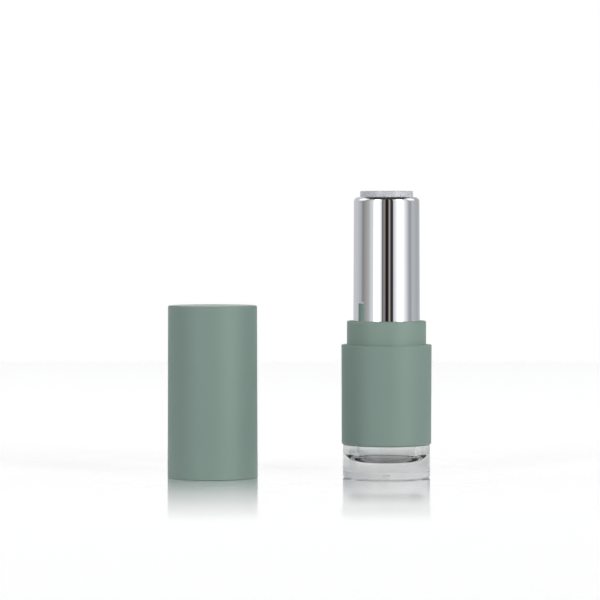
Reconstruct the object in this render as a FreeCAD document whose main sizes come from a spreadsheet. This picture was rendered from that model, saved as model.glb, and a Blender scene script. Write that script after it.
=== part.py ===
import FreeCAD, Part
import os
import Sketcher

# Twist-up lip balm stick with its cap standing beside it, in millimetres, +Z up.
# The origin is the centre of the clear foot's underside. The case stands on its foot at the origin,
# and the cap stands mouth down to the left of it.

NEAR = 1e-4  # two lengths closer than this are the same
FULL_TURN = 360  # degrees
GROOVE_STARTS = "2"  # one groove for each of the two lugs

# Driving dimensions: alias, value, what it is.
SIZES = (
    ("balm_diameter", 11.1, "balm stick"),
    ("tip_depth", 1.4, "tip of the balm below the guide's top when wound down"),
    ("tip_slope", 40, "degrees, slope of the balm's cut face"),
    ("tip_flat", 2.6, "width of the balm's end left standing above the cut face"),
    ("tip_edge_radius", 0.9, "rounding of the balm's end"),
    ("pour_gap", 0.01, "between the poured balm and its cup"),
    ("cup_wall", 0.38, "wall of the lift cup"),
    ("cup_floor", 2.2, "floor of the lift cup, thick enough to carry the lugs"),
    ("cup_height", 9.0, "whole height of the lift cup"),
    ("rib_height", 0.2, "ribs in the cup that hold the balm"),
    ("rib_count", 4, "number of those ribs"),
    ("lug_diameter", 1.5, "lugs on the lift cup"),
    ("lug_gap", 0.12, "around a lug in its slot and groove"),
    ("lug_engagement", 0.5, "depth of a lug inside the spiral sleeve"),
    ("slide_gap", 0.06, "radial, cup in guide"),
    ("travel", 32.5, "rise of the cup"),
    ("turns", 1.25, "turns of the barrel over that rise"),
    ("rest_gap", 0.3, "under the cup when wound down"),
    ("top_margin", 0.4, "cup's rim below the guide's top when wound up"),
    ("guide_wall", 0.45, "wall of the guide tube"),
    ("guide_rim_radius", 0.12, "rounding of the guide's top"),
    ("stop_bore", 9.2, "hole through the thick stop under the cup"),
    ("stop_height", 3.0, "height of that stop above the plug"),
    ("plug_height", 12.5, "plug at the guide's lower end"),
    ("plug_wall", 1.0, "wall of the plug"),
    ("plug_roof", 1.2, "roof of the plug"),
    ("key_count", 4, "keys that stop the plug turning in the foot"),
    ("key_width", 1.2, "width of a key"),
    ("key_depth", 0.45, "how far a key stands into the plug"),
    ("key_height", 6.0, "height of a key"),
    ("key_gap", 0.05, "around a key in its keyway"),
    ("snap_rise", 1.0, "snap groove above the plug"),
    ("snap_height", 1.0, "height of the snap groove"),
    ("snap_depth", 0.3, "depth of the snap groove"),
    ("snap_play", 0.12, "axial play of the snap bead in its groove"),
    ("running_gap", 0.06, "radial, barrel on guide"),
    ("end_gap", 0.2, "under the barrel"),
    ("spiral_wall", 0.99, "wall of the spiral sleeve"),
    ("groove_overrun", 12, "degrees of groove past each end of the lugs' travel"),
    ("press_gap", 0.02, "between pieces pressed together"),
    ("shell_wall", 0.53, "wall of the bright shell at its top"),
    ("shell_draft", 0.17, "how much wider in radius the shell is at its lower end"),
    ("shell_lip", 0.7, "thickness of the turned-in rim"),
    ("shell_rim_radius", 1.15, "rounding of the rim"),
    ("lip_gap", 0.18, "radial, rim round the guide"),
    ("rim_rise", 1.4, "guide's top above the shell's rim"),
    ("barrel_gap", 0.13, "radial, barrel in collar"),
    ("collar_wall", 1.3, "wall of the collar above the sleeve"),
    ("collar_exposed", 5.8, "collar above the sleeve"),
    ("collar_shoulder", 0.25, "collar's step that rests on the sleeve's top"),
    ("collar_edge_radius", 0.35, "rounding of the collar's top edge"),
    ("bond_gap", 0.03, "between pieces bonded together"),
    ("sleeve_wall", 1.57, "wall of the base sleeve at its top"),
    ("sleeve_draft", 0.07, "how much narrower in radius the sleeve is at its lower end"),
    ("sleeve_length", 24.3, "length of the base sleeve"),
    ("sleeve_upper_radius", 0.2, "rounding of the sleeve's top edge"),
    ("sleeve_lower_radius", 0.45, "rounding of the sleeve's lower edge"),
    ("foot_step", 0.32, "foot inset from the sleeve's lower edge"),
    ("foot_draft", 0.08, "how much wider in radius the foot is at its underside"),
    ("foot_height", 8.0, "clear foot below the sleeve"),
    ("foot_edge_radius", 0.6, "rounding of the foot's lower edge"),
    ("foot_ring", 1.2, "width of the ring that the foot stands on"),
    ("foot_recess", 0.45, "depth of the recess inside that ring"),
    ("recess_radius", 0.2, "rounding of that recess"),
    ("foot_floor", 3.7, "top of the foot's solid floor"),
    ("hollow_height", 8.3, "hollow between the floor and the plug's seat"),
    ("hollow_fillet", 2.6, "rounding where the hollow meets its floor"),
    ("seat_ledge", 1.25, "width of the ledge that the plug sits on"),
    ("spigot_height", 14.0, "foot's spigot above its shoulder"),
    ("gate_diameter", 1.1, "moulding gate dimple under the foot"),
    ("gate_depth", 0.1, "depth of that dimple"),
    ("cap_gap", 0.08, "radial, cap liner on collar"),
    ("liner_wall", 0.5, "wall of the cap liner"),
    ("liner_roof", 0.6, "roof of the cap liner"),
    ("liner_vent", 6.0, "vent hole in that roof"),
    ("liner_recess", 0.3, "liner's mouth above the cap's rim"),
    ("cap_wall", 0.75, "wall of the cap shell at its mouth"),
    ("cap_draft", 0.15, "how much narrower in radius the cap is at its top"),
    ("cap_roof", 1.05, "roof of the cap shell"),
    ("cap_headroom", 2.8, "room above the guide in the closed cap"),
    ("cap_edge_radius", 0.4, "rounding of the cap's top edge"),
    ("cap_mouth_radius", 0.15, "rounding of the cap's rim"),
    ("cap_stand_off", 20.43, "between the cap and the case's sleeve"),
)

# Radii, from the balm outwards.
BALM_R = "Sizes.balm_diameter / 2"
CUP_BORE = f"({BALM_R} + Sizes.pour_gap)"
CUP_R = f"({CUP_BORE} + Sizes.cup_wall)"
GUIDE_BORE = f"({CUP_R} + Sizes.slide_gap)"
GUIDE_R = f"({GUIDE_BORE} + Sizes.guide_wall)"
SNAP_R = f"({GUIDE_R} - Sizes.snap_depth)"
SPIRAL_BORE = f"({GUIDE_R} + Sizes.running_gap)"
LUG_REACH = f"({SPIRAL_BORE} + Sizes.lug_engagement)"
GROOVE_R = f"({LUG_REACH} + Sizes.lug_gap)"
SPIRAL_R = f"({SPIRAL_BORE} + Sizes.spiral_wall)"
SHELL_BORE = f"({SPIRAL_R} + Sizes.press_gap)"
SHELL_TOP_R = f"({SHELL_BORE} + Sizes.shell_wall)"
SHELL_BASE_R = f"({SHELL_TOP_R} + Sizes.shell_draft)"
COLLAR_BORE = f"({SHELL_BASE_R} + Sizes.barrel_gap)"
COLLAR_R = f"({COLLAR_BORE} + Sizes.collar_wall)"
PLUG_R = f"({COLLAR_BORE} - Sizes.bond_gap)"
PLUG_CORE = f"({PLUG_R} - Sizes.plug_wall)"
HOLLOW_R = f"({COLLAR_BORE} - Sizes.seat_ledge)"
SPIGOT_R = f"({COLLAR_R} - Sizes.collar_shoulder)"
SLEEVE_BORE = f"({SPIGOT_R} + Sizes.bond_gap)"
SLEEVE_TOP_R = f"({SLEEVE_BORE} + Sizes.sleeve_wall)"
SLEEVE_BASE_R = f"({SLEEVE_TOP_R} - Sizes.sleeve_draft)"
FOOT_TOP_R = f"({SLEEVE_BASE_R} - Sizes.foot_step)"
FOOT_BASE_R = f"({FOOT_TOP_R} + Sizes.foot_draft)"
RECESS_R = f"({FOOT_BASE_R} - Sizes.foot_ring)"
LINER_BORE = f"({COLLAR_R} + Sizes.cap_gap)"
LINER_R = f"({LINER_BORE} + Sizes.liner_wall)"
CAP_BORE = f"({LINER_R} + Sizes.press_gap)"
CAP_MOUTH_R = f"({CAP_BORE} + Sizes.cap_wall)"
CAP_TOP_R = f"({CAP_MOUTH_R} - Sizes.cap_draft)"
CAP_X = f"-({SLEEVE_TOP_R} + Sizes.cap_stand_off + {CAP_MOUTH_R})"

# Heights of the case, from the foot upwards.
SEAT_Z = "(Sizes.foot_floor + Sizes.hollow_height)"
SPIGOT_Z = "(Sizes.foot_height + Sizes.spigot_height)"
SLEEVE_TOP_Z = "(Sizes.foot_height + Sizes.sleeve_length)"
COLLAR_TOP_Z = f"({SLEEVE_TOP_Z} + Sizes.collar_exposed)"
PLUG_TOP_Z = f"({SEAT_Z} + Sizes.plug_height)"
SNAP_Z = f"({PLUG_TOP_Z} + Sizes.snap_rise)"
SNAP_TOP_Z = f"({SNAP_Z} + Sizes.snap_height)"
STOP_Z = f"({PLUG_TOP_Z} + Sizes.stop_height)"
CUP_Z = f"({STOP_Z} + Sizes.rest_gap)"
LUG_Z = f"({CUP_Z} + Sizes.cup_floor / 2)"
CUP_FLOOR_Z = f"({CUP_Z} + Sizes.cup_floor)"
CUP_TOP_Z = f"({CUP_Z} + Sizes.cup_height)"
GUIDE_TOP_Z = f"({CUP_TOP_Z} + Sizes.travel + Sizes.top_margin)"
BALM_TOP_Z = f"({GUIDE_TOP_Z} - Sizes.tip_depth)"
BARREL_Z = f"({PLUG_TOP_Z} + Sizes.end_gap)"
SHELL_TOP_Z = f"({GUIDE_TOP_Z} - Sizes.rim_rise)"
LIP_Z = f"({SHELL_TOP_Z} - Sizes.shell_lip)"

# Heights of the cap, from its mouth upwards.
LINER_ROOF_Z = f"({GUIDE_TOP_Z} - {SLEEVE_TOP_Z} + Sizes.cap_headroom)"
CAP_ROOF_Z = f"({LINER_ROOF_Z} + Sizes.liner_roof)"
CAP_TOP_Z = f"({CAP_ROOF_Z} + Sizes.cap_roof)"

# The spiral: its lead, and the height that a lug takes up along the axis in the slanting groove.
LEAD = "(Sizes.travel / Sizes.turns)"
LUG_ROOM = "(Sizes.lug_diameter / 2 + Sizes.lug_gap)"
GROOVE_HALF = f"({LUG_ROOM} * sqrt(1 + ({LEAD} / (2 * pi * {SPIRAL_BORE})) ^ 2))"
OVERRUN_RISE = f"({LEAD} * Sizes.groove_overrun / {FULL_TURN})"


def make_sheet():
    """Puts the driving dimensions into a spreadsheet, one row each."""
    sheet = doc.addObject("Spreadsheet::Sheet", "Sizes")
    for row, (alias, value, meaning) in enumerate(SIZES, 1):
        sheet.set(f"A{row}", alias)
        sheet.set(f"B{row}", str(value))
        sheet.set(f"C{row}", meaning)
        sheet.setAlias(f"B{row}", alias)
    doc.recompute()
    return sheet


def number(expression):
    """The value that an expression of the sheet's cells has now."""
    return float(sizes.evalExpression(expression))


def new_body(label):
    """A body for one piece, labelled with the piece's name."""
    body = doc.addObject("PartDesign::Body", label)
    body.Label = label
    return body


def origin_feature(body, role):
    """One of a body's own origin planes or axes."""
    return next(item for item in body.Origin.OriginFeatures if item.Role == role)


def new_sketch(body, name, role, height=None):
    """A sketch on one of the body's origin planes, raised by height where one is given."""
    sketch = body.newObject("Sketcher::SketchObject", name)
    sketch.AttachmentSupport = (origin_feature(body, role), "")
    sketch.MapMode = "FlatFace"
    if height:
        sketch.setExpression("AttachmentOffset.Base.z", height)
    return sketch


def fix_point(sketch, line, end, across, up):
    """Ties one end of a line, or a centre, to two expressions of the sheet."""
    for kind, axis, expression in (("DistanceX", -2, across), ("DistanceY", -1, up)):
        value = number(expression)
        if abs(value) < NEAR:
            sketch.addConstraint(Sketcher.Constraint("PointOnObject", line, end, axis))
            continue
        index = sketch.addConstraint(Sketcher.Constraint(kind, -1, 1, line, end, value))
        sketch.setExpression(f"Constraints[{index}]", expression)


def outline(body, name, role, points, height=None):
    """A closed outline of straight lines, with every corner tied to the sheet."""
    sketch = new_sketch(body, name, role, height)
    corners = [FreeCAD.Vector(number(across), number(up), 0) for across, up in points]
    count = len(corners)
    for index in range(count):
        sketch.addGeometry(Part.LineSegment(corners[index], corners[(index + 1) % count]), False)
    for index in range(count):
        sketch.addConstraint(Sketcher.Constraint("Coincident", index, 2, (index + 1) % count, 1))
    for index, (across, up) in enumerate(points):
        fix_point(sketch, index, 1, across, up)
    return sketch


def circle(body, name, role, across, up, radius, height=None):
    """A circle with its centre and radius tied to the sheet."""
    sketch = new_sketch(body, name, role, height)
    centre = FreeCAD.Vector(number(across), number(up), 0)
    sketch.addGeometry(Part.Circle(centre, FreeCAD.Vector(0, 0, 1), number(radius)), False)
    fix_point(sketch, 0, 3, across, up)
    index = sketch.addConstraint(Sketcher.Constraint("Radius", 0, number(radius)))
    sketch.setExpression(f"Constraints[{index}]", radius)
    return sketch


def turned(body, points):
    """A body of revolution about its Z axis, from its half outline of radii and heights."""
    sketch = outline(body, "Outline", "XZ_Plane", points)
    solid = body.newObject("PartDesign::Revolution", "Turned")
    solid.Profile = sketch
    solid.ReferenceAxis = (sketch, ["V_Axis"])
    solid.Angle = FULL_TURN
    doc.recompute()
    return solid


def extruded(body, kind, name, sketch, length, symmetric=False):
    """A pad or a pocket of a sketch, upwards or outwards, or to both sides of its plane."""
    feature = body.newObject(f"PartDesign::{kind}", name)
    feature.Profile = sketch
    feature.setExpression("Length", length)
    if symmetric:
        feature.SideType = "Symmetric"
    elif kind == "Pocket":
        feature.Reversed = True
    doc.recompute()
    return feature


def around(body, feature, count):
    """Copies of a feature spread evenly round the body's Z axis."""
    pattern = body.newObject("PartDesign::PolarPattern", f"{feature.Name}Around")
    pattern.Originals = [feature]
    pattern.Axis = (origin_feature(body, "Z_Axis"), [""])
    pattern.Angle = FULL_TURN
    pattern.setExpression("Occurrences", count)
    body.Tip = pattern
    doc.recompute()
    return pattern


def rounded(body, base, name, radius, rings):
    """Rounds the circular edges that lie at the given radii and heights."""
    wanted = [(number(ring_radius), number(height)) for ring_radius, height in rings]
    edges = []
    for index, edge in enumerate(base.Shape.Edges, 1):
        if edge.Curve.TypeId != "Part::GeomCircle":
            continue
        ring = (edge.Curve.Radius, edge.Curve.Center.z)
        if any(abs(ring[0] - r) < NEAR and abs(ring[1] - z) < NEAR for r, z in wanted):
            edges.append(f"Edge{index}")
    fillet = body.newObject("PartDesign::Fillet", name)
    fillet.Base = (base, edges)
    fillet.setExpression("Radius", radius)
    doc.recompute()
    return fillet


def box_outline(inner, outer, half_width):
    """Corners of a rectangle across the X axis, from an inner to an outer distance."""
    low = f"-({half_width})"
    return [(inner, low), (outer, low), (outer, half_width), (inner, half_width)]


def make_clear_foot():
    """Clear foot: standing ring, thick floor, hollow, seat for the guide's plug, and spigot."""
    body = new_body("clear_foot")
    base = turned(body, [
        ("0", "Sizes.foot_recess"),
        (RECESS_R, "Sizes.foot_recess"),
        (RECESS_R, "0"),
        (FOOT_BASE_R, "0"),
        (FOOT_TOP_R, "Sizes.foot_height"),
        (SPIGOT_R, "Sizes.foot_height"),
        (SPIGOT_R, SPIGOT_Z),
        (COLLAR_BORE, SPIGOT_Z),
        (COLLAR_BORE, SEAT_Z),
        (HOLLOW_R, SEAT_Z),
        (HOLLOW_R, "Sizes.foot_floor"),
        ("0", "Sizes.foot_floor"),
    ])
    base = rounded(body, base, "LowerEdge", "Sizes.foot_edge_radius", [(FOOT_BASE_R, "0")])
    base = rounded(body, base, "HollowCorner", "Sizes.hollow_fillet", [(HOLLOW_R, "Sizes.foot_floor")])
    rounded(body, base, "RecessEdges", "Sizes.recess_radius",
            [(RECESS_R, "Sizes.foot_recess"), (RECESS_R, "0")])
    dimple = circle(body, "GateCircle", "XY_Plane", "0", "0", "Sizes.gate_diameter / 2",
                    "Sizes.foot_recess")
    extruded(body, "Pocket", "GateDimple", dimple, "Sizes.gate_depth")
    corners = box_outline(f"{COLLAR_BORE} - Sizes.key_depth", SPIGOT_R, "Sizes.key_width / 2")
    key_outline = outline(body, "KeyOutline", "XY_Plane", corners, SEAT_Z)
    key = extruded(body, "Pad", "Key", key_outline, "Sizes.key_height")
    around(body, key, "Sizes.key_count")
    return body


def make_base_sleeve():
    """Green outer sleeve, sitting on the foot's shoulder."""
    body = new_body("base_sleeve")
    base = turned(body, [
        (SLEEVE_BORE, "Sizes.foot_height"),
        (SLEEVE_BASE_R, "Sizes.foot_height"),
        (SLEEVE_TOP_R, SLEEVE_TOP_Z),
        (SLEEVE_BORE, SLEEVE_TOP_Z),
    ])
    base = rounded(body, base, "LowerEdge", "Sizes.sleeve_lower_radius",
                   [(SLEEVE_BASE_R, "Sizes.foot_height")])
    rounded(body, base, "UpperEdge", "Sizes.sleeve_upper_radius", [(SLEEVE_TOP_R, SLEEVE_TOP_Z)])
    return body


def make_collar():
    """Green collar bonded inside the sleeve, with a shoulder on its top; the cap grips its bare end."""
    body = new_body("collar")
    base = turned(body, [
        (COLLAR_BORE, SPIGOT_Z),
        (SPIGOT_R, SPIGOT_Z),
        (SPIGOT_R, SLEEVE_TOP_Z),
        (COLLAR_R, SLEEVE_TOP_Z),
        (COLLAR_R, COLLAR_TOP_Z),
        (COLLAR_BORE, COLLAR_TOP_Z),
    ])
    rounded(body, base, "TopEdges", "Sizes.collar_edge_radius",
            [(COLLAR_R, COLLAR_TOP_Z), (COLLAR_BORE, COLLAR_TOP_Z)])
    return body


def make_guide_tube():
    """Pale guide: keyed plug below, stop and snap groove above it, then the slotted tube."""
    body = new_body("guide_tube")
    roof_z = f"({PLUG_TOP_Z} - Sizes.plug_roof)"
    base = turned(body, [
        (PLUG_CORE, SEAT_Z),
        (PLUG_R, SEAT_Z),
        (PLUG_R, PLUG_TOP_Z),
        (GUIDE_R, PLUG_TOP_Z),
        (GUIDE_R, SNAP_Z),
        (SNAP_R, SNAP_Z),
        (SNAP_R, SNAP_TOP_Z),
        (GUIDE_R, SNAP_TOP_Z),
        (GUIDE_R, GUIDE_TOP_Z),
        (GUIDE_BORE, GUIDE_TOP_Z),
        (GUIDE_BORE, STOP_Z),
        ("Sizes.stop_bore / 2", STOP_Z),
        ("Sizes.stop_bore / 2", roof_z),
        (PLUG_CORE, roof_z),
    ])
    rounded(body, base, "TopEdges", "Sizes.guide_rim_radius",
            [(GUIDE_R, GUIDE_TOP_Z), (GUIDE_BORE, GUIDE_TOP_Z)])
    slot_low = f"({LUG_Z} - {LUG_ROOM})"
    slot_high = f"({LUG_Z} + Sizes.travel + {LUG_ROOM})"
    slot = outline(body, "SlotOutline", "YZ_Plane", [
        (f"-{LUG_ROOM}", slot_low),
        (LUG_ROOM, slot_low),
        (LUG_ROOM, slot_high),
        (f"-{LUG_ROOM}", slot_high),
    ])
    extruded(body, "Pocket", "Slots", slot, f"2 * {PLUG_R}", symmetric=True)
    corners = box_outline(f"{COLLAR_BORE} - Sizes.key_depth - Sizes.key_gap", SPIGOT_R,
                          "Sizes.key_width / 2 + Sizes.key_gap")
    keyway_outline = outline(body, "KeywayOutline", "XY_Plane", corners, SEAT_Z)
    keyway = extruded(body, "Pocket", "Keyway", keyway_outline, "Sizes.key_height + Sizes.key_gap")
    around(body, keyway, "Sizes.key_count")
    return body


def make_spiral_sleeve():
    """Pale sleeve with two helical grooves on its inside and a snap bead near its lower end."""
    body = new_body("spiral_sleeve")
    top_z = f"({LIP_Z} - Sizes.press_gap)"
    bead_r = f"({SNAP_R} + Sizes.running_gap)"
    bead_low = f"({SNAP_Z} + Sizes.snap_play)"
    bead_high = f"({SNAP_TOP_Z} - Sizes.snap_play)"
    turned(body, [
        (SPIRAL_BORE, BARREL_Z),
        (SPIRAL_R, BARREL_Z),
        (SPIRAL_R, top_z),
        (SPIRAL_BORE, top_z),
        (SPIRAL_BORE, bead_high),
        (bead_r, bead_high),
        (bead_r, bead_low),
        (SPIRAL_BORE, bead_low),
    ])
    start_z = f"({LUG_Z} - {OVERRUN_RISE})"
    section = outline(body, "GrooveSection", "XZ_Plane", [
        (SNAP_R, f"{start_z} - {GROOVE_HALF}"),
        (GROOVE_R, f"{start_z} - {GROOVE_HALF}"),
        (GROOVE_R, f"{start_z} + {GROOVE_HALF}"),
        (SNAP_R, f"{start_z} + {GROOVE_HALF}"),
    ])
    groove = body.newObject("PartDesign::SubtractiveHelix", "Groove")
    groove.Profile = section
    groove.ReferenceAxis = (section, ["V_Axis"])
    groove.setExpression("Pitch", LEAD)
    groove.setExpression("Height", f"Sizes.travel + 2 * {OVERRUN_RISE}")
    doc.recompute()
    around(body, groove, GROOVE_STARTS)
    body.setExpression("Placement.Rotation.Angle", "-Sizes.groove_overrun")
    return body


def make_bright_shell():
    """Mirror-bright shell pressed over the spiral sleeve, with a rounded rim turned in at its top."""
    body = new_body("bright_shell")
    lip_r = f"({GUIDE_R} + Sizes.lip_gap)"
    base = turned(body, [
        (SHELL_BORE, BARREL_Z),
        (SHELL_BASE_R, BARREL_Z),
        (SHELL_TOP_R, SHELL_TOP_Z),
        (lip_r, SHELL_TOP_Z),
        (lip_r, LIP_Z),
        (SHELL_BORE, LIP_Z),
    ])
    rounded(body, base, "Rim", "Sizes.shell_rim_radius", [(SHELL_TOP_R, SHELL_TOP_Z)])
    return body


def make_lift_cup():
    """Cup that carries the balm: thick floor with two lugs, thin wall with holding ribs."""
    body = new_body("lift_cup")
    turned(body, [
        ("0", CUP_Z),
        (CUP_R, CUP_Z),
        (CUP_R, CUP_TOP_Z),
        (CUP_BORE, CUP_TOP_Z),
        (CUP_BORE, CUP_FLOOR_Z),
        ("0", CUP_FLOOR_Z),
    ])
    lug = circle(body, "LugCircle", "YZ_Plane", "0", LUG_Z, "Sizes.lug_diameter / 2")
    extruded(body, "Pad", "Lugs", lug, f"2 * {LUG_REACH}", symmetric=True)
    rib = circle(body, "RibCircle", "XY_Plane", CUP_BORE, "0", "Sizes.rib_height", CUP_FLOOR_Z)
    ribs = extruded(body, "Pad", "Rib", rib, "Sizes.cup_height - Sizes.cup_floor")
    around(body, ribs, "Sizes.rib_count")
    return body


def make_balm_stick():
    """Balm poured into the cup, fluted by the cup's ribs, with a slanting cut face."""
    body = new_body("balm_stick")
    turned(body, [
        ("0", CUP_FLOOR_Z),
        (BALM_R, CUP_FLOOR_Z),
        (BALM_R, BALM_TOP_Z),
        ("0", BALM_TOP_Z),
    ])
    flat_x = f"({BALM_R} - Sizes.tip_flat)"
    far_x = f"(2 * {BALM_R})"
    cut_low = f"({BALM_TOP_Z} - ({flat_x} + {far_x}) * tan(Sizes.tip_slope * 1 deg))"
    cut = outline(body, "CutOutline", "XZ_Plane", [
        (flat_x, BALM_TOP_Z),
        (f"-{far_x}", BALM_TOP_Z),
        (f"-{far_x}", cut_low),
    ])
    slope = extruded(body, "Pocket", "CutFace", cut, f"2 * {far_x}", symmetric=True)
    end_edges = [f"Edge{index}" for index, edge in enumerate(slope.Shape.Edges, 1)
                 if edge.BoundBox.ZMin > number(CUP_FLOOR_Z) + NEAR]
    end = body.newObject("PartDesign::Fillet", "EndRounding")
    end.Base = (slope, end_edges)
    end.setExpression("Radius", "Sizes.tip_edge_radius")
    doc.recompute()
    flute_r = "Sizes.rib_height + Sizes.pour_gap"
    flute = circle(body, "FluteCircle", "XY_Plane", CUP_BORE, "0", flute_r, CUP_FLOOR_Z)
    flutes = extruded(body, "Pocket", "Flute", flute, "Sizes.cup_height - Sizes.cup_floor")
    around(body, flutes, "Sizes.rib_count")
    return body


def make_cap_shell():
    """Green cap shell, modelled with its mouth at the floor and moved beside the case."""
    body = new_body("cap_shell")
    base = turned(body, [
        (CAP_BORE, "0"),
        (CAP_MOUTH_R, "0"),
        (CAP_TOP_R, CAP_TOP_Z),
        ("0", CAP_TOP_Z),
        ("0", CAP_ROOF_Z),
        (CAP_BORE, CAP_ROOF_Z),
    ])
    base = rounded(body, base, "TopEdge", "Sizes.cap_edge_radius", [(CAP_TOP_R, CAP_TOP_Z)])
    rounded(body, base, "MouthEdge", "Sizes.cap_mouth_radius", [(CAP_MOUTH_R, "0"), (CAP_BORE, "0")])
    body.setExpression("Placement.Base.x", CAP_X)
    return body


def make_cap_liner():
    """Pale liner pressed into the cap shell; its bore slides on the collar."""
    body = new_body("cap_liner")
    base = turned(body, [
        (LINER_BORE, "Sizes.liner_recess"),
        (LINER_R, "Sizes.liner_recess"),
        (LINER_R, CAP_ROOF_Z),
        ("Sizes.liner_vent / 2", CAP_ROOF_Z),
        ("Sizes.liner_vent / 2", LINER_ROOF_Z),
        (LINER_BORE, LINER_ROOF_Z),
    ])
    rounded(body, base, "MouthEdge", "Sizes.cap_mouth_radius", [(LINER_BORE, "Sizes.liner_recess")])
    body.setExpression("Placement.Base.x", CAP_X)
    return body


doc = FreeCAD.newDocument("LipBalmStick")
sizes = make_sheet()
pieces = [
    make_clear_foot(),
    make_base_sleeve(),
    make_collar(),
    make_guide_tube(),
    make_spiral_sleeve(),
    make_bright_shell(),
    make_lift_cup(),
    make_balm_stick(),
    make_cap_shell(),
    make_cap_liner(),
]
doc.recompute()

failed = [item.Name for item in doc.Objects if {"Invalid", "Error"} & set(item.State)]
if failed:
    raise RuntimeError(f"features that failed: {failed}")
for piece in pieces:
    shape = piece.Shape
    if shape.isNull() or not shape.isValid() or len(shape.Solids) != 1:
        raise RuntimeError(f"{piece.Label} is not one valid solid")

os.makedirs("parts", exist_ok=True)
for piece in pieces:
    piece.Shape.exportStep(os.path.join("parts", f"{piece.Label}.step"))
    box = piece.Shape.BoundBox
    print(f"{piece.Label}: {piece.Shape.Volume:.1f} mm3, x {box.XMin:.2f} to {box.XMax:.2f}, "
          f"z {box.ZMin:.2f} to {box.ZMax:.2f}")
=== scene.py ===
import bpy
import numpy as np
from math import radians, sin
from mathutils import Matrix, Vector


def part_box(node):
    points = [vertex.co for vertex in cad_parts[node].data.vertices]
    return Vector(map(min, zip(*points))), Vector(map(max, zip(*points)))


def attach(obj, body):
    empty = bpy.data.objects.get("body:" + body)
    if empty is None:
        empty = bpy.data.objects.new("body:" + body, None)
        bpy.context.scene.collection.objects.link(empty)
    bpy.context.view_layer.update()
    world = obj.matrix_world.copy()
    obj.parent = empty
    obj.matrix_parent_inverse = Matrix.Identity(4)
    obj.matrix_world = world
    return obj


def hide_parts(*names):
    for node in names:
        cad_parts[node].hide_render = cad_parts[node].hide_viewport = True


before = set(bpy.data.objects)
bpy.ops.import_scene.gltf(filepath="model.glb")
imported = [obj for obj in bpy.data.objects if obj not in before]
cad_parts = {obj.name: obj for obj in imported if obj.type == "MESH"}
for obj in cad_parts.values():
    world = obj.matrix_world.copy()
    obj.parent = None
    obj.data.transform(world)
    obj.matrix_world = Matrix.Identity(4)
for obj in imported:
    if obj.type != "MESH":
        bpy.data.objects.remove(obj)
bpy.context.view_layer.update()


# Clear foot. A thick block of clear acrylic that the case stands on, moulded in one shot through a gate
# under its middle: a ring to stand on, a solid floor, a round-cornered hollow above it, and a spigot that
# is bonded up inside the green sleeve.
MM = 0.001  # metres; the sizes of the pieces are in mm, and those of the stage in metres
TURN_STEPS = 256  # faces round each turned piece
ARC_STEPS = 8  # faces along each rounded corner
SEAM_GAP = 0.02  # mm left between a clear face and the piece that lies on it


def rounded_outline(corners, radii, closed):
    """Half section of a turned piece, as radii and heights in metres, with its corners rounded.

    Each corner gives way to an arc of its own radius that touches both of its sides. The arc's points are
    the spherical blend of the two spokes from its centre to where it starts and ends, and one more point
    stands on each side next to it, half a radius on or a quarter of the way to the next arc, so that the
    flat beside the arc shades flat. An open outline keeps its first and last corner, which lie on the axis.
    """
    corners = np.array(corners) * MM
    radii = np.array(radii)[:, None] * MM
    back = np.roll(corners, 1, axis=0) - corners
    ahead = np.roll(corners, -1, axis=0) - corners
    back_length = np.linalg.norm(back, axis=1, keepdims=True)
    ahead_length = np.linalg.norm(ahead, axis=1, keepdims=True)
    back = back / back_length
    ahead = ahead / ahead_length
    half_angle = np.arccos(np.clip((back * ahead).sum(axis=1, keepdims=True), -1, 1)) / 2
    reach = radii / np.tan(half_angle)
    bisector = back + ahead
    bisector = bisector / np.linalg.norm(bisector, axis=1, keepdims=True)
    centre = corners + bisector * radii / np.sin(half_angle)
    first_spoke = corners + back * reach - centre
    last_spoke = corners + ahead * reach - centre
    sweep = np.pi - 2 * half_angle
    share = np.linspace(0, 1, ARC_STEPS + 1)[None, :]
    from_first = np.sin((1 - share) * sweep) / np.sin(sweep)
    from_last = np.sin(share * sweep) / np.sin(sweep)
    arcs = (centre[:, None] + from_first[:, :, None] * first_spoke[:, None]
            + from_last[:, :, None] * last_spoke[:, None])
    free_back = back_length - reach - np.roll(reach, 1, axis=0)
    free_ahead = ahead_length - reach - np.roll(reach, -1, axis=0)
    before = corners + back * (reach + np.minimum(radii / 2, free_back / 4))
    after = corners + ahead * (reach + np.minimum(radii / 2, free_ahead / 4))
    points = np.concatenate([before[:, None], arcs, after[:, None]], axis=1)
    if closed:
        return points.reshape(-1, 2)
    return np.concatenate([corners[:1], points[1:-1].reshape(-1, 2), corners[-1:]])


def mesh_object(name, points, faces):
    """A piece with smooth faces, from its points and its faces."""
    mesh = bpy.data.meshes.new(name)
    mesh.from_pydata(points.tolist(), [], faces)
    mesh.polygons.foreach_set("use_smooth", np.ones(len(mesh.polygons), dtype=bool))
    mesh.update()
    piece = bpy.data.objects.new(name, mesh)
    bpy.context.scene.collection.objects.link(piece)
    return piece


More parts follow.
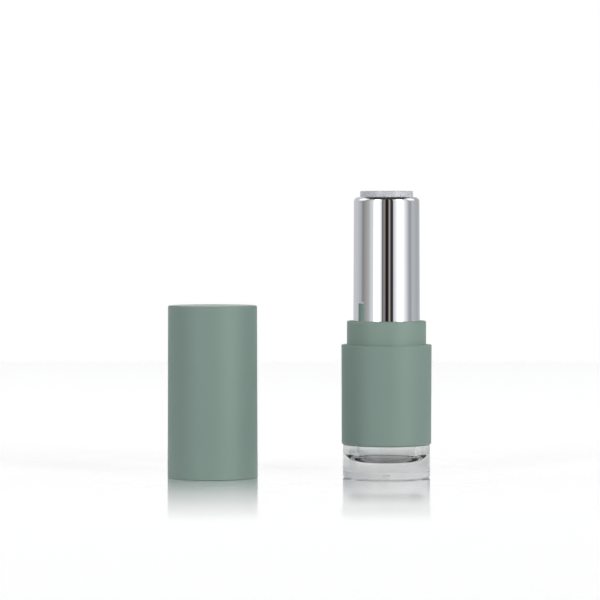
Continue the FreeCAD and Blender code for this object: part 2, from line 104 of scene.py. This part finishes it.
def turned_piece(name, outline, closed, axis_x=0.0):
    """A surface of revolution about a vertical axis.

    The point of the outline at radius r and height z, turned by the angle a, lies at
    (axis_x + r cos a, r sin a, z). The outline runs with the material on its left, so faces that go round
    first and then along it point outwards. Where an open outline meets the axis, one point closes the end.
    """
    angles = np.arange(TURN_STEPS) * 2 * np.pi / TURN_STEPS
    rows = outline if closed else outline[1:-1]
    radius = rows[:, 0, None]
    grid = np.stack([
        axis_x + radius * np.cos(angles),
        radius * np.sin(angles),
        np.broadcast_to(rows[:, 1, None], (len(rows), TURN_STEPS)),
    ], axis=2)
    index = np.arange(len(rows) * TURN_STEPS).reshape(len(rows), TURN_STEPS)
    beside = np.roll(index, -1, axis=1)
    ahead = np.roll(index, -1, axis=0)
    beside_ahead = np.roll(beside, -1, axis=0)
    quads = np.stack([index, beside, beside_ahead, ahead], axis=2)
    quads = quads if closed else quads[:-1]
    points = grid.reshape(-1, 3)
    faces = quads.reshape(-1, 4).tolist()
    if not closed:
        poles = np.array([[axis_x, 0, outline[0, 1]], [axis_x, 0, outline[-1, 1]]])
        first_pole = np.full(TURN_STEPS, len(points))
        last_pole = first_pole + 1
        faces += np.stack([first_pole, beside[0], index[0]], axis=1).tolist()
        faces += np.stack([index[-1], beside[-1], last_pole], axis=1).tolist()
        points = np.concatenate([points, poles])
    return mesh_object(name, points, faces)


def add_node(tree, kind, inputs=None, **settings):
    """A shader node with its settings; each input is a value or another node's output."""
    node = tree.nodes.new(kind)
    for name, value in settings.items():
        setattr(node, name, value)
    for name, value in (inputs or {}).items():
        if isinstance(value, bpy.types.NodeSocket):
            tree.links.new(value, node.inputs[name])
        else:
            node.inputs[name].default_value = value
    return node


def calc(tree, operation, *values):
    """The result of one step of arithmetic on values or other nodes' outputs."""
    return add_node(tree, "ShaderNodeMath", dict(enumerate(values)), operation=operation).outputs[0]


def carry(tree, value, start, end, low, high):
    """A value moved evenly from the range start to end into the range low to high, and held at its ends."""
    return add_node(tree, "ShaderNodeMapRange", {
        "Value": value, "From Min": start, "From Max": end, "To Min": low, "To Max": high}).outputs["Result"]


def spread(tree, value, low, high):
    """A texture value, whose middle half is spread over the range from low to high."""
    return carry(tree, value, 0.25, 0.75, low, high)


def blend(tree, share, first, second, mode="MIX"):
    """A colour between two colours, on the mix node's colour sockets, which only their numbers tell apart."""
    return add_node(tree, "ShaderNodeMix", {"Factor": share, 6: first, 7: second},
                    data_type="RGBA", blend_type=mode).outputs[2]


def bump(tree, height, depth):
    """A normal that follows a height, given the depth of its relief in metres."""
    return add_node(tree, "ShaderNodeBump", {"Height": height, "Distance": depth}).outputs["Normal"]


def new_material(name):
    """An empty node material, and its tree."""
    material = bpy.data.materials.new(name)
    material.use_nodes = True
    material.node_tree.nodes.clear()
    return material, material.node_tree


def surface(tree, shader):
    """Puts a shader on the material's output."""
    add_node(tree, "ShaderNodeOutputMaterial", {"Surface": shader})


def dress(piece, material, slot, body, *nodes):
    """Gives a piece its material and its body, and hides the nodes that it stands for. The slot argument is
    not used.
    """
    piece.data.materials.append(material)
    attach(piece, body)
    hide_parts(*nodes)


SPECK_CORE = 0.02  # share of a cell within which a speck is full
SPECK_EDGE = 0.05  # and past which it is gone
SPECK_RARE = 0.97  # share of the cells that have none


def mould_texture_group():
    """Fine texture of a moulded or coated skin: grain, faint clouding, and rare specks, each from 0 to 1."""
    group = bpy.data.node_groups.new("mould_texture", "ShaderNodeTree")
    for socket in ("Grain Scale", "Cloud Scale", "Speck Scale"):
        group.interface.new_socket(socket, in_out="INPUT", socket_type="NodeSocketFloat")
    for socket in ("Grain", "Clouds", "Specks"):
        group.interface.new_socket(socket, in_out="OUTPUT", socket_type="NodeSocketFloat")
    inlet = add_node(group, "NodeGroupInput")
    place = add_node(group, "ShaderNodeTexCoord").outputs["Object"]
    grain = add_node(group, "ShaderNodeTexNoise", {
        "Vector": place, "Scale": inlet.outputs["Grain Scale"], "Detail": 2.0, "Roughness": 0.6})
    clouds = add_node(group, "ShaderNodeTexNoise", {
        "Vector": place, "Scale": inlet.outputs["Cloud Scale"], "Detail": 3.0, "Roughness": 0.5})
    cells = add_node(group, "ShaderNodeTexVoronoi", {
        "Vector": place, "Scale": inlet.outputs["Speck Scale"], "Randomness": 1.0})
    speck = carry(group, cells.outputs["Distance"], SPECK_CORE, SPECK_EDGE, 1.0, 0.0)
    chosen = add_node(group, "ShaderNodeSeparateColor", {"Color": cells.outputs["Color"]})
    rare = calc(group, "GREATER_THAN", chosen.outputs["Red"], SPECK_RARE)
    add_node(group, "NodeGroupOutput", {
        "Grain": grain.outputs["Fac"], "Clouds": clouds.outputs["Fac"],
        "Specks": calc(group, "MULTIPLY", speck, rare)})
    return group


MOULD_TEXTURE = mould_texture_group()


def mould_texture(tree, grain, clouds, specks):
    """The mould texture group, placed in a material with that material's own scales, per metre."""
    return add_node(tree, "ShaderNodeGroup", {
        "Grain Scale": grain, "Cloud Scale": clouds, "Speck Scale": specks},
        node_tree=MOULD_TEXTURE).outputs


SHOULDER_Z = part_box("base_sleeve")[0].z / MM
SPIGOT_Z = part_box("clear_foot")[1].z / MM
SEAT_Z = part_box("guide_tube")[0].z / MM
FOOT_BASE_R = 10.69
FOOT_TOP_R = 10.61
FOOT_EDGE_R = 0.6
RECESS_R = 9.49
RECESS_DEPTH = 0.45
RECESS_CORNER_R = 0.2
SPIGOT_R = 9.40
COLLAR_BORE = 8.35
HOLLOW_R = 7.1
HOLLOW_CORNER_R = 2.6
HOLLOW_FLOOR_Z = 3.7
GATE_R = 0.55
GATE_DEPTH = 0.1
GATE_CORNER_R = 0.05
CRISP_R = 0.06  # corners that the mould leaves sharp
ACRYLIC = (0.975, 0.985, 0.98, 1)
ACRYLIC_GREY = (0.955, 0.972, 0.97, 1)

foot_outline = rounded_outline([
    (0, RECESS_DEPTH + GATE_DEPTH),
    (GATE_R, RECESS_DEPTH + GATE_DEPTH),
    (GATE_R, RECESS_DEPTH),
    (RECESS_R, RECESS_DEPTH),
    (RECESS_R, 0),
    (FOOT_BASE_R, 0),
    (FOOT_TOP_R, SHOULDER_Z - SEAM_GAP),
    (SPIGOT_R, SHOULDER_Z - SEAM_GAP),
    (SPIGOT_R, SPIGOT_Z - SEAM_GAP),
    (COLLAR_BORE, SPIGOT_Z - SEAM_GAP),
    (COLLAR_BORE, SEAT_Z - SEAM_GAP),
    (HOLLOW_R, SEAT_Z - SEAM_GAP),
    (HOLLOW_R, HOLLOW_FLOOR_Z),
    (0, HOLLOW_FLOOR_Z),
], [
    0, GATE_CORNER_R, GATE_CORNER_R, RECESS_CORNER_R, RECESS_CORNER_R, FOOT_EDGE_R,
    CRISP_R, CRISP_R, CRISP_R, CRISP_R, CRISP_R, CRISP_R, HOLLOW_CORNER_R, 0,
], False)
foot = turned_piece("foot", foot_outline, False)

clear_acrylic, tree = new_material("clear_acrylic")
texture = mould_texture(tree, grain=900.0, clouds=140.0, specks=400.0)
acrylic = add_node(tree, "ShaderNodeBsdfPrincipled", {
    "Base Color": blend(tree, texture["Clouds"], ACRYLIC_GREY, ACRYLIC),
    "Roughness": spread(tree, texture["Grain"], low=0.0, high=0.012),
    "IOR": 1.49,
    "Transmission Weight": 1.0,
    "Normal": bump(tree, texture["Clouds"], depth=0.002 * MM),
})
surface(tree, acrylic.outputs["BSDF"])
dress(foot, clear_acrylic, "clear_plastic", "base", "clear_foot")


# Base sleeve. The outer tube of the base, moulded plastic with a sprayed soft-touch coat in sage green.
# It is pushed over the foot's spigot until it sits on the foot's shoulder.
SAGE = (0.233, 0.326, 0.286, 1)
SAGE_DEEP = (0.224, 0.314, 0.276, 1)
SPECK_DARK = (0.11, 0.13, 0.11, 1)
SLEEVE_TOP_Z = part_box("base_sleeve")[1].z / MM
SLEEVE_TOP_R = 11.0
SLEEVE_BASE_R = 10.93
SLEEVE_BORE = 9.43
SLEEVE_BASE_EDGE_R = 0.45
SLEEVE_TOP_EDGE_R = 0.2

sleeve_outline = rounded_outline([
    (SLEEVE_BORE, SHOULDER_Z),
    (SLEEVE_BASE_R, SHOULDER_Z),
    (SLEEVE_TOP_R, SLEEVE_TOP_Z),
    (SLEEVE_BORE, SLEEVE_TOP_Z),
], [CRISP_R, SLEEVE_BASE_EDGE_R, SLEEVE_TOP_EDGE_R, CRISP_R], True)
sleeve = turned_piece("sleeve", sleeve_outline, True)

soft_touch_green, tree = new_material("soft_touch_green")
texture = mould_texture(tree, grain=9000.0, clouds=120.0, specks=130.0)
tone = blend(tree, texture["Clouds"], SAGE_DEEP, SAGE)
coat = add_node(tree, "ShaderNodeBsdfPrincipled", {
    "Base Color": blend(tree, texture["Specks"], tone, SPECK_DARK),
    "Roughness": spread(tree, texture["Grain"], low=0.43, high=0.53),
    "Specular IOR Level": 0.4,
    "Sheen Weight": 0.4,
    "Sheen Roughness": 0.25,
    "Normal": bump(tree, texture["Grain"], depth=0.004 * MM),
})
surface(tree, coat.outputs["BSDF"])
dress(sleeve, soft_touch_green, "soft_touch_green", "base", "base_sleeve")


# Collar. A narrower tube of the same green plastic, bonded inside the sleeve on top of the spigot. Its
# bare top stands out of the sleeve, and the cap grips it, so it is a little smoother than the sleeve.
COLLAR_R = 9.65
COLLAR_TOP_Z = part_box("collar")[1].z / MM
COLLAR_EDGE_R = 0.35
BARE_GREEN = (0.245, 0.341, 0.296, 1)
BARE_GREEN_DEEP = (0.234, 0.328, 0.283, 1)

collar_outline = rounded_outline([
    (COLLAR_BORE, SPIGOT_Z),
    (SPIGOT_R, SPIGOT_Z),
    (SPIGOT_R, SLEEVE_TOP_Z),
    (COLLAR_R, SLEEVE_TOP_Z),
    (COLLAR_R, COLLAR_TOP_Z),
    (COLLAR_BORE, COLLAR_TOP_Z),
], [CRISP_R, CRISP_R, CRISP_R, CRISP_R, COLLAR_EDGE_R, COLLAR_EDGE_R], True)
collar = turned_piece("collar_tube", collar_outline, True)

satin_green, tree = new_material("satin_green")
texture = mould_texture(tree, grain=5000.0, clouds=150.0, specks=200.0)
satin = add_node(tree, "ShaderNodeBsdfPrincipled", {
    "Base Color": blend(tree, texture["Clouds"], BARE_GREEN_DEEP, BARE_GREEN),
    "Roughness": spread(tree, texture["Grain"], low=0.42, high=0.52),
    "Specular IOR Level": 0.45,
    "Normal": bump(tree, texture["Grain"], depth=0.003 * MM),
})
surface(tree, satin.outputs["BSDF"])
dress(collar, satin_green, "satin_green", "base", "collar")


# Guide tube, spiral sleeve and lift cup. Pale glossy mouldings of the lifting mechanism: the guide's plug
# is keyed into the foot, the spiral sleeve snaps round the guide, and the cup's lugs run in both.
PALE = (0.605, 0.62, 0.65, 1)
PALE_DEEP = (0.595, 0.61, 0.64, 1)

pale_moulding, tree = new_material("pale_moulding")
texture = mould_texture(tree, grain=3000.0, clouds=110.0, specks=300.0)
moulding = add_node(tree, "ShaderNodeBsdfPrincipled", {
    "Base Color": blend(tree, texture["Clouds"], PALE_DEEP, PALE),
    "Roughness": spread(tree, texture["Grain"], low=0.28, high=0.31),
})
surface(tree, moulding.outputs["BSDF"])
for node in ("guide_tube", "spiral_sleeve", "lift_cup"):
    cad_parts[node].material_slots[0].material = pale_moulding


# Bright shell. A drawn tube with a mirror finish, pressed over the spiral sleeve. It widens a little
# towards its lower end, and its top is turned in to a rounded rim round the guide.
SHELL_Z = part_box("bright_shell")[0].z / MM
SHELL_TOP_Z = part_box("bright_shell")[1].z / MM
SHELL_TOP_R = 8.05
SHELL_BASE_R = 8.22
SHELL_BORE = 7.52
SHELL_LIP = 0.7
SHELL_LIP_BORE = 6.63
SHELL_LIP_EDGE_R = 0.08
SHELL_RIM_R = 1.15
BRIGHT = (0.93, 0.93, 0.935, 1)
BRIGHT_DEEP = (0.90, 0.90, 0.905, 1)

shell_outline = rounded_outline([
    (SHELL_BORE, SHELL_Z),
    (SHELL_BASE_R, SHELL_Z),
    (SHELL_TOP_R, SHELL_TOP_Z),
    (SHELL_LIP_BORE, SHELL_TOP_Z),
    (SHELL_LIP_BORE, SHELL_TOP_Z - SHELL_LIP),
    (SHELL_BORE, SHELL_TOP_Z - SHELL_LIP),
], [CRISP_R, CRISP_R, SHELL_RIM_R, SHELL_LIP_EDGE_R, SHELL_LIP_EDGE_R, CRISP_R], True)
shell = turned_piece("shell", shell_outline, True)

bright_metal, tree = new_material("bright_metal")
texture = mould_texture(tree, grain=2500.0, clouds=60.0, specks=300.0)
plate = add_node(tree, "ShaderNodeBsdfPrincipled", {
    "Base Color": blend(tree, texture["Clouds"], BRIGHT_DEEP, BRIGHT),
    "Metallic": 1.0,
    "Roughness": spread(tree, texture["Grain"], low=0.02, high=0.035),
})
surface(tree, plate.outputs["BSDF"])
dress(shell, bright_metal, "bright_metal", "barrel", "bright_shell")


# Balm stick. Ivory balm poured into the lift cup and cut at a slant, with its edges softened. It is wound
# down inside the guide at rest.
IVORY = (0.84, 0.75, 0.58, 1)
IVORY_DEEP = (0.80, 0.70, 0.52, 1)

balm_wax, tree = new_material("balm_wax")
texture = mould_texture(tree, grain=1800.0, clouds=160.0, specks=300.0)
wax = add_node(tree, "ShaderNodeBsdfPrincipled", {
    "Base Color": blend(tree, texture["Clouds"], IVORY_DEEP, IVORY),
    "Roughness": spread(tree, texture["Grain"], low=0.32, high=0.42),
    "Subsurface Weight": 0.2,
    "Subsurface Radius": (1.2 * MM, 0.9 * MM, 0.6 * MM),
    "Normal": bump(tree, texture["Clouds"], depth=0.02 * MM),
})
surface(tree, wax.outputs["BSDF"])
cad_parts["balm_stick"].material_slots[0].material = balm_wax


# Cap. The outer cap is a moulded tube closed at its top, with the same soft-touch coat as the sleeve. A
# pale liner is pressed into it, and the liner's bore slides on the collar.
cap_low, cap_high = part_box("cap_shell")
CAP_X = (cap_low.x + cap_high.x) / 2
CAP_TOP_Z = cap_high.z / MM
CAP_MOUTH_R = 11.0
CAP_TOP_R = 10.85
CAP_BORE = 10.25
CAP_ROOF = 1.05
CAP_MOUTH_EDGE_R = 0.15
CAP_TOP_EDGE_R = 0.4
liner_low, liner_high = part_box("cap_liner")
LINER_Z = liner_low.z / MM
LINER_TOP_Z = liner_high.z / MM
LINER_R = 10.23
LINER_BORE = 9.73
LINER_VENT_R = 3.0
LINER_ROOF = 0.6
LINER_MOUTH_EDGE_R = 0.15

cap_outline = rounded_outline([
    (0, CAP_TOP_Z - CAP_ROOF),
    (CAP_BORE, CAP_TOP_Z - CAP_ROOF),
    (CAP_BORE, 0),
    (CAP_MOUTH_R, 0),
    (CAP_TOP_R, CAP_TOP_Z),
    (0, CAP_TOP_Z),
], [0, CRISP_R, CAP_MOUTH_EDGE_R, CAP_MOUTH_EDGE_R, CAP_TOP_EDGE_R, 0], False)
cap = turned_piece("cap", cap_outline, False, CAP_X)
dress(cap, soft_touch_green, "soft_touch_green", "cap", "cap_shell")

liner_outline = rounded_outline([
    (LINER_BORE, LINER_Z),
    (LINER_R, LINER_Z),
    (LINER_R, LINER_TOP_Z),
    (LINER_VENT_R, LINER_TOP_Z),
    (LINER_VENT_R, LINER_TOP_Z - LINER_ROOF),
    (LINER_BORE, LINER_TOP_Z - LINER_ROOF),
], [LINER_MOUTH_EDGE_R, CRISP_R, CRISP_R, CRISP_R, CRISP_R, CRISP_R], True)
liner = turned_piece("liner", liner_outline, True, CAP_X)
dress(liner, pale_moulding, "pale_plastic", "cap", "cap_liner")


# White sheet. A glossy white sheet that the case and the cap stand on. It mirrors them near by, and it
# gives a little light of its own to the view, so that it stays white and keeps their shadows soft.
# Seen through the clear foot, its own light is dimmer near the pieces: a painted shadow under and round them.
SHEET_HALF = 0.6  # from its middle to each edge
SHEET_Z = -0.05 * MM
SHEET_WHITE = (0.86, 0.86, 0.86, 1)
SHEET_GLOSS = 0.08  # roughness of what it mirrors
WHITE = (1, 1, 1, 1)
MIRROR_SHARE = 0.9  # how much of a piece it mirrors next to that piece
MIRROR_REACH = 0.096  # how far in front of a piece it still mirrors it
GLANCE_FROM = 0.80  # how flat the view is when the sheet starts to mirror
GLANCE_TO = 0.89
ROOM_MIRROR_SHARE = 0.8  # how much of the room it mirrors to the bright shell
ROOM_MIRROR_FROM = 0.045  # how far from the pieces that starts
ROOM_MIRROR_TO = 0.09
GLOW = 0.53  # light that it gives to the view
GLOW_PAINTED_SHADOW_UNDER = 0.1  # the same where the clear foot shows the sheet under it, kept low as a painted shadow
GLOW_PAST_PAINTED_SHADOW = 0.22  # the same where the clear foot shows the sheet farther off, past the painted shadow
# distances from the pieces, in metres, over which the painted shadow seen through the clear foot fades out
PAINTED_SHADOW_FROM = 0.012
PAINTED_SHADOW_TO = 0.06


def mirror_ray(tree, path):
    """1 for a ray that a mirror sends on, and 0 for one that passes through something clear."""
    return calc(tree, "GREATER_THAN", path["Is Glossy Ray"], path["Is Transmission Ray"])


corners = np.array([[-1, -1], [1, -1], [1, 1], [-1, 1]]) * SHEET_HALF
floor = mesh_object("floor", np.column_stack([corners, np.full(4, SHEET_Z)]), [[0, 1, 2, 3]])
sheet_white, tree = new_material("sheet_white")
coordinates = add_node(tree, "ShaderNodeTexCoord").outputs["Object"]
place = add_node(tree, "ShaderNodeSeparateXYZ", {0: coordinates}).outputs
distances = []
for axis_x in (0.0, CAP_X):
    across = calc(tree, "SUBTRACT", place["X"], axis_x)
    offset = add_node(tree, "ShaderNodeCombineXYZ", {"X": across, "Y": place["Y"]}).outputs[0]
    length = add_node(tree, "ShaderNodeVectorMath", {0: offset}, operation="LENGTH")
    distances.append(length.outputs["Value"])
near = calc(tree, "MINIMUM", *distances)
path = add_node(tree, "ShaderNodeLightPath").outputs
mirrored = mirror_ray(tree, path)
piece_edge = CAP_MOUTH_R * MM
fade = carry(tree, near, piece_edge, piece_edge + MIRROR_REACH, MIRROR_SHARE, 0.0)
facing = add_node(tree, "ShaderNodeLayerWeight", {"Blend": 0.5}).outputs["Facing"]
glance = carry(tree, facing, GLANCE_FROM, GLANCE_TO, 0.0, 1.0)
to_view = calc(tree, "MULTIPLY", calc(tree, "MULTIPLY", fade, glance), path["Is Camera Ray"])
far = carry(tree, near, ROOM_MIRROR_FROM, ROOM_MIRROR_TO, 0.0, ROOM_MIRROR_SHARE)
mirror_share = calc(tree, "MULTIPLY_ADD", far, mirrored, to_view)
seen = calc(tree, "MAXIMUM", path["Is Camera Ray"], mirrored)
# painted shadow: what the clear foot shows of the sheet gives less light near the pieces than farther off
glow_with_painted_shadow = carry(tree, near, PAINTED_SHADOW_FROM, PAINTED_SHADOW_TO, GLOW_PAINTED_SHADOW_UNDER, GLOW_PAST_PAINTED_SHADOW)
through = calc(tree, "MULTIPLY", path["Is Transmission Ray"], glow_with_painted_shadow)
strength = calc(tree, "MULTIPLY_ADD", seen, GLOW, through)
paper = add_node(tree, "ShaderNodeBsdfDiffuse", {"Color": SHEET_WHITE}).outputs[0]
glow = add_node(tree, "ShaderNodeEmission", {"Color": WHITE, "Strength": strength}).outputs[0]
white = add_node(tree, "ShaderNodeAddShader", {0: paper, 1: glow}).outputs[0]
gloss = add_node(tree, "ShaderNodeBsdfGlossy", {"Color": WHITE, "Roughness": SHEET_GLOSS}).outputs[0]
surface(tree, add_node(tree, "ShaderNodeMixShader", {0: mirror_share, 1: white, 2: gloss}).outputs[0])
floor.data.materials.append(sheet_white)


# Studio. A dim room with a white panel to the left and one to the right of the camera, a white backdrop
# behind the object, nothing lit behind the camera, and a soft lamp up on each side.
WARM = np.array((1.08, 0.97, 0.95))  # tints of the room's light, in red, green and blue
PLAIN = np.array((1.0, 1.0, 1.0))
COOL = np.array((0.96, 1.0, 1.05))
LEFT_PANEL = 3.75
RIGHT_PANEL = 6.0
LEFT_SIDE = (  # degrees round from the camera to the left, how light the room is there, and its tint
    (0, 0.008, WARM), (4, 0.012, WARM), (8.5, 0.26, WARM), (12.5, 0.26, WARM), (15, 0.02, WARM),
    (18.5, 0.5, COOL), (21, 0.92, COOL), (27, 1.1, PLAIN), (29, LEFT_PANEL, PLAIN), (44, LEFT_PANEL, PLAIN),
    (46, 1.05, PLAIN), (50, 0.72, COOL), (58, 0.64, COOL), (66, 0.43, PLAIN), (92, 0.235, PLAIN),
    (101, 0.43, COOL), (121, 0.56, COOL), (180, 0.64, PLAIN),
)
RIGHT_SIDE = (  # the same to the right
    (0, 0.008, WARM), (4.5, 0.04, WARM), (8.2, 0.46, WARM), (11.5, 0.1, WARM), (14.5, 0.03, WARM),
    (19.7, 0.02, PLAIN), (22, 0.55, COOL), (24.5, 0.68, COOL), (30, 0.86, COOL), (36, 1.1, PLAIN),
    (38, RIGHT_PANEL, PLAIN), (55, RIGHT_PANEL, PLAIN), (57, 1.06, PLAIN), (65, 0.88, COOL), (82, 0.39, COOL),
    (88, 0.33, COOL), (100, 0.5, COOL), (129, 0.41, COOL), (180, 0.6, PLAIN),
)
PANEL_TOP = (38, 48)  # degrees above the horizon over which the room darkens
CEILING = (0.05, 0.045, 0.042, 1)
BACKDROP_EDGE = (0.955, 0.965)  # how squarely a ray heads for the backdrop where that begins
SECOND_MIRROR = 1.5  # more mirrors than this on a ray's way, and it has met a second one

world = bpy.data.worlds.new("studio")
bpy.context.scene.world = world
world.use_nodes = True
tree = world.node_tree
tree.nodes.clear()
coordinates = add_node(tree, "ShaderNodeTexCoord").outputs["Generated"]
way = add_node(tree, "ShaderNodeSeparateXYZ", {0: coordinates}).outputs
towards = calc(tree, "MULTIPLY", way["Y"], -1.0)
bearing = calc(tree, "ARCTAN2", way["X"], towards)
around = calc(tree, "DIVIDE", calc(tree, "ABSOLUTE", bearing), np.pi)
sides = []
for side in (LEFT_SIDE, RIGHT_SIDE):
    ramp = add_node(tree, "ShaderNodeValToRGB", {"Fac": around})
    stops = ramp.color_ramp.elements
    for degrees, _, _ in side[1:-1]:
        stops.new(degrees / 180)
    for stop, (_, level, tint) in zip(stops, side):
        stop.color = (*level * tint, 1)
    sides.append(ramp.outputs["Color"])
to_right = calc(tree, "GREATER_THAN", bearing, 0.0)
walls = blend(tree, to_right, *sides)
panel_low, panel_high = (sin(radians(degrees)) for degrees in PANEL_TOP)
room = blend(tree, carry(tree, way["Z"], panel_low, panel_high, 0.0, 1.0), walls, CEILING)
path = add_node(tree, "ShaderNodeLightPath").outputs
behind = calc(tree, "MULTIPLY", carry(tree, way["Y"], *BACKDROP_EDGE, 0.0, 1.0), mirror_ray(tree, path))
backed = blend(tree, behind, room, WHITE)
again = calc(tree, "GREATER_THAN", path["Glossy Depth"], SECOND_MIRROR)
inside = calc(tree, "MAXIMUM", path["Is Transmission Ray"], again)
dimmed = blend(tree, inside, backed, WHITE, "DARKEN")
background = add_node(tree, "ShaderNodeBackground", {
    "Color": blend(tree, path["Is Camera Ray"], dimmed, WHITE), "Strength": 1.0})
add_node(tree, "ShaderNodeOutputWorld", {"Surface": background.outputs[0]})

LEFT_LAMP = 0.45  # watts
RIGHT_LAMP = 0.38
LAMP_SIZE = 0.4
LAMP_OUT = 0.55  # from the object to each side
LAMP_BACK = 0.12
LAMP_UP = 0.42
LAMP_TILT = 52  # degrees from straight down
LAMP_TURN = 12  # degrees about the vertical

for side, power in ((-1, LEFT_LAMP), (1, RIGHT_LAMP)):
    light = bpy.data.lights.new("side_light", "AREA")
    light.energy = power
    light.size = LAMP_SIZE
    lamp = bpy.data.objects.new("side_lamp", light)
    lamp.location = (side * LAMP_OUT, LAMP_BACK, LAMP_UP)
    lamp.rotation_euler = (0, side * radians(LAMP_TILT), side * radians(LAMP_TURN))
    bpy.context.scene.collection.objects.link(lamp)

CAMERA_AT = (-0.0211, -0.707, 0.0613)
CAMERA_PITCH = 1.47  # degrees below the horizon
LENS_MM = 174
SENSOR_MM = 36
NEAREST = 0.01  # what the camera still sees, in metres

lens = bpy.data.cameras.new("camera")
lens.sensor_width = SENSOR_MM
lens.lens = LENS_MM
lens.clip_start = NEAREST
camera = bpy.data.objects.new("camera", lens)
camera.location = CAMERA_AT
camera.rotation_euler = (radians(90 - CAMERA_PITCH), 0, 0)
bpy.context.scene.collection.objects.link(camera)
bpy.context.scene.camera = camera
bpy.context.scene.view_settings.view_transform = "Standard"
